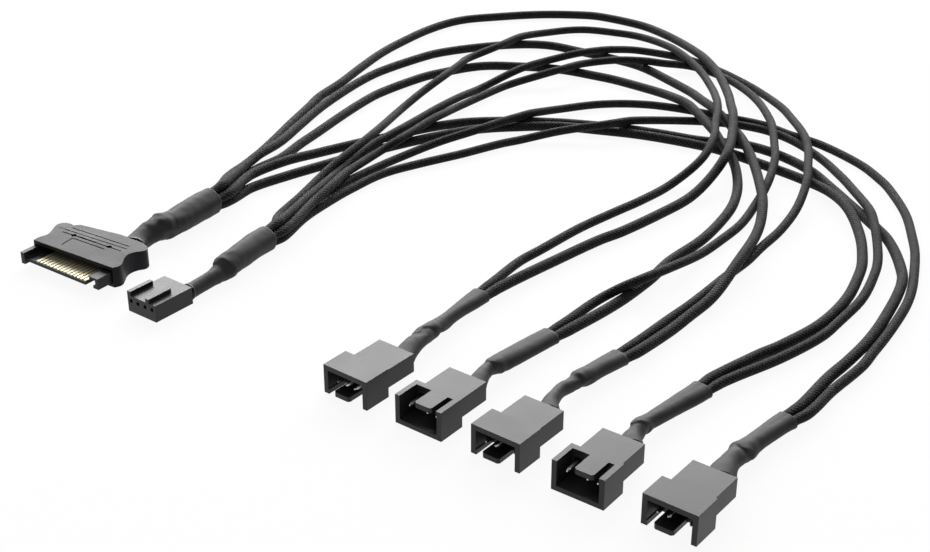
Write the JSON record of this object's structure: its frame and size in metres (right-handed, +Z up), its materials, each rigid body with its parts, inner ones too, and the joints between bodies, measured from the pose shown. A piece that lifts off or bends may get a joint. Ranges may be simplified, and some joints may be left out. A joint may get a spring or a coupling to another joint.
{
  "type": "fan splitter cable",
  "caption": "Splitter cable: a flat power plug and a small keyed control socket feed a row of keyed fan plugs through braided leads that lie in wide overlapping loops.",
  "frame": {"origin": "middle of the base of the plugs, the socket and their shrink tubes, on the surface they lie on; the leads are not counted", "axes": "+X along the row of plugs, towards the fifth fan plug; mouths face -Y and the leads loop behind in +Y; +Z up"},
  "size_m": [0.2312, 0.2587, 0.0088],
  "materials": {
    "housing_plastic": "black moulded plastic with a grey satin sheen",
    "insulator_plastic": "black moulded plastic, dull",
    "gold_contact": "pale gold plate, satin",
    "tinned_metal": "tin plate, satin",
    "shrink_tube": "dark grey shrink tube, satin with fine wrinkles",
    "braided_sleeve": "black braided sleeve, fine diamond weave"
  },
  "bodies": {
    "root": {"power_plug_hood": "housing_plastic", "power_plug_insulator": "insulator_plastic", "power_contact_01": "gold_contact", "power_contact_02": "gold_contact", "power_contact_03": "gold_contact", "power_contact_04": "gold_contact", "power_contact_05": "gold_contact", "power_contact_06": "gold_contact", "power_contact_07": "gold_contact", "power_contact_08": "gold_contact", "power_contact_09": "gold_contact", "power_contact_10": "gold_contact", "power_contact_11": "gold_contact", "power_contact_12": "gold_contact", "power_contact_13": "gold_contact", "power_contact_14": "gold_contact", "power_contact_15": "gold_contact", "power_plug_shrink": "shrink_tube", "control_socket_housing": "housing_plastic", "control_socket_terminal_1": "tinned_metal", "control_socket_terminal_2": "tinned_metal", "control_socket_terminal_3": "tinned_metal", "control_socket_terminal_4": "tinned_metal", "control_socket_shrink": "shrink_tube", "fan_plug_1_housing": "housing_plastic", "fan_plug_1_pin_1": "tinned_metal", "fan_plug_1_pin_2": "tinned_metal", "fan_plug_1_pin_3": "tinned_metal", "fan_plug_1_pin_4": "tinned_metal", "fan_plug_1_shrink": "shrink_tube", "fan_plug_2_housing": "housing_plastic", "fan_plug_2_pin_1": "tinned_metal", "fan_plug_2_pin_3": "tinned_metal", "fan_plug_2_pin_4": "tinned_metal", "fan_plug_2_shrink": "shrink_tube", "fan_plug_3_housing": "housing_plastic", "fan_plug_3_pin_1": "tinned_metal", "fan_plug_3_pin_3": "tinned_metal", "fan_plug_3_pin_4": "tinned_metal", "fan_plug_3_shrink": "shrink_tube", "fan_plug_4_housing": "housing_plastic", "fan_plug_4_pin_1": "tinned_metal", "fan_plug_4_pin_3": "tinned_metal", "fan_plug_4_pin_4": "tinned_metal", "fan_plug_4_shrink": "shrink_tube", "fan_plug_5_housing": "housing_plastic", "fan_plug_5_pin_1": "tinned_metal", "fan_plug_5_pin_3": "tinned_metal", "fan_plug_5_pin_4": "tinned_metal", "fan_plug_5_shrink": "shrink_tube", "power_lead_1": "braided_sleeve", "power_lead_2": "braided_sleeve", "power_lead_3": "braided_sleeve", "power_lead_4": "braided_sleeve", "power_lead_5": "braided_sleeve", "signal_lead_1": "braided_sleeve", "signal_lead_2": "braided_sleeve", "signal_lead_3": "braided_sleeve", "signal_lead_4": "braided_sleeve", "signal_lead_5": "braided_sleeve"}
  },
  "joints": []
}
